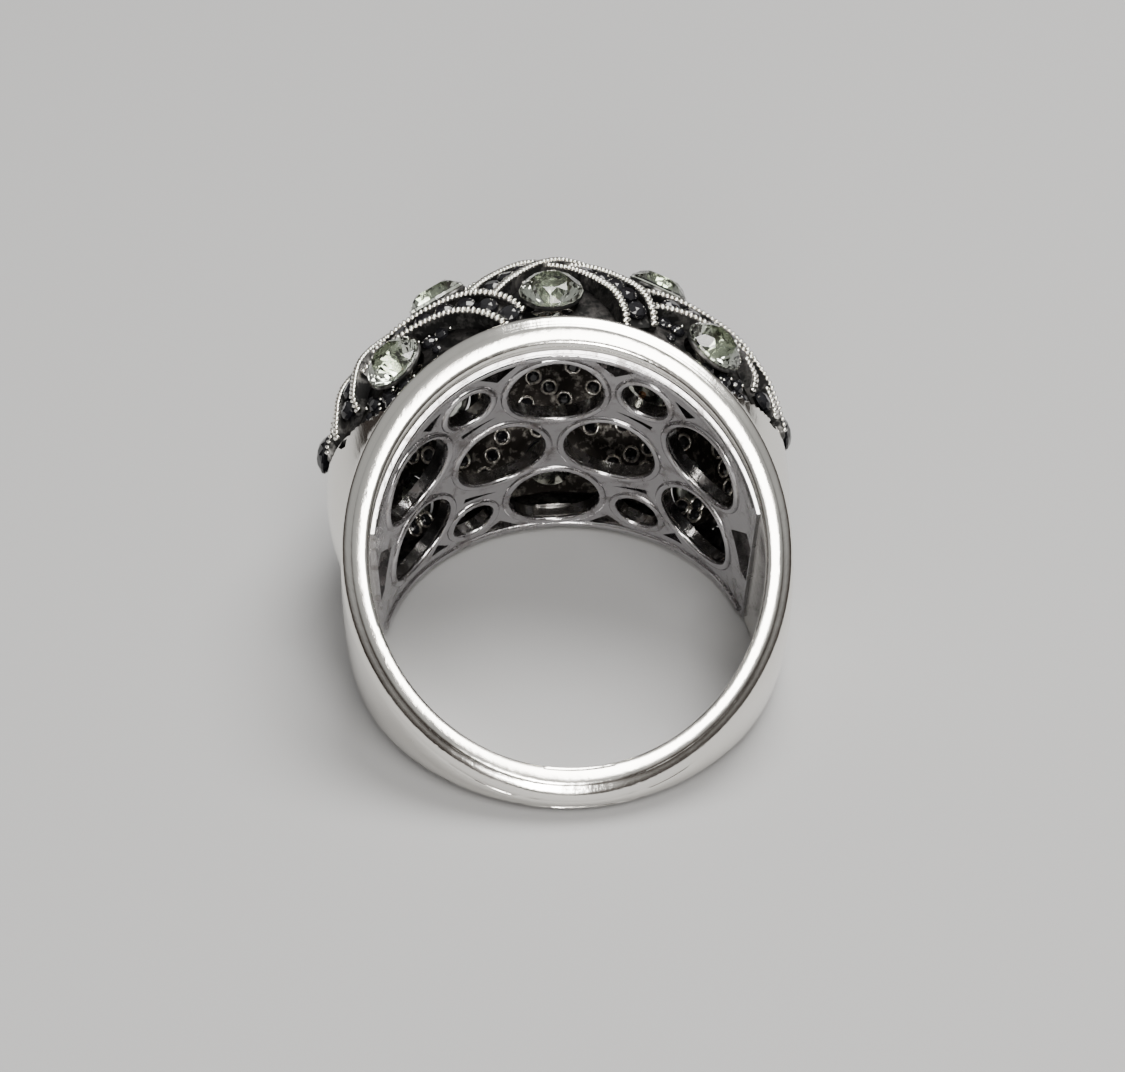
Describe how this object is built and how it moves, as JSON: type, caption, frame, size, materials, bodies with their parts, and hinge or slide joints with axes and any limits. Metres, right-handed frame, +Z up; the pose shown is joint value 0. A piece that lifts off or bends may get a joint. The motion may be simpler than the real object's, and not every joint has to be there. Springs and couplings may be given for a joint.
{
  "type": "cocktail ring",
  "caption": "Domed cocktail ring: plain polished shank, beaded ribbons of black stones woven over a domed head, smoky round crystals between them, openwork gallery plate inside.",
  "frame": {"origin": "centre of the finger hole at the middle of the ring's width", "axes": "the ring lies on its far rim: +Z up from the surface it lies on, +Y horizontally towards the domed head, +X across; the finger hole's axis leans 21.2 degrees from +Z"},
  "size_m": [0.0232, 0.0273, 0.0169],
  "materials": {
    "polished_rhodium": "polished silver-white plating with fine wear",
    "gallery_metal": "satin cast plating, slightly greyer than the shank",
    "dark_metal": "blackened cast metal",
    "beaded_rail_metal": "bright beaded edges with dark in the recesses",
    "smoky_crystal": "faceted grey-green crystal with a foiled back",
    "black_stone": "faceted opaque black"
  },
  "bodies": {
    "root": {"band": "polished_rhodium", "gallery_plate": "gallery_metal", "head_shell": "dark_metal", "ribbon_rising_1": "beaded_rail_metal", "ribbon_rising_2": "beaded_rail_metal", "ribbon_rising_3": "beaded_rail_metal", "ribbon_rising_4": "beaded_rail_metal", "ribbon_falling_1": "beaded_rail_metal", "ribbon_falling_2": "beaded_rail_metal", "ribbon_falling_3": "beaded_rail_metal", "ribbon_falling_4": "beaded_rail_metal", "stones_rising_1": "black_stone", "stones_rising_2": "black_stone", "stones_rising_3": "black_stone", "stones_rising_4": "black_stone", "stones_falling_1": "black_stone", "stones_falling_2": "black_stone", "stones_falling_3": "black_stone", "stones_falling_4": "black_stone", "crystal_crown": "smoky_crystal", "crystal_near_centre": "smoky_crystal", "crystal_far_centre": "smoky_crystal", "crystal_near_left": "smoky_crystal", "crystal_near_right": "smoky_crystal", "crystal_far_left": "smoky_crystal", "crystal_far_right": "smoky_crystal", "crystal_mid_near_left": "smoky_crystal", "crystal_mid_near_right": "smoky_crystal", "crystal_mid_far_left": "smoky_crystal", "crystal_mid_far_right": "smoky_crystal", "pave_crown": "black_stone", "pave_near_centre": "black_stone", "pave_far_centre": "black_stone", "pave_near_left": "black_stone", "pave_near_right": "black_stone", "pave_far_left": "black_stone", "pave_far_right": "black_stone", "pave_mid_near_left": "black_stone", "pave_mid_near_right": "black_stone", "pave_mid_far_left": "black_stone", "pave_mid_far_right": "black_stone", "pave_left_end": "black_stone", "pave_right_end": "black_stone", "end_stone_left": "black_stone", "end_stone_right": "black_stone"}
  },
  "joints": []
}
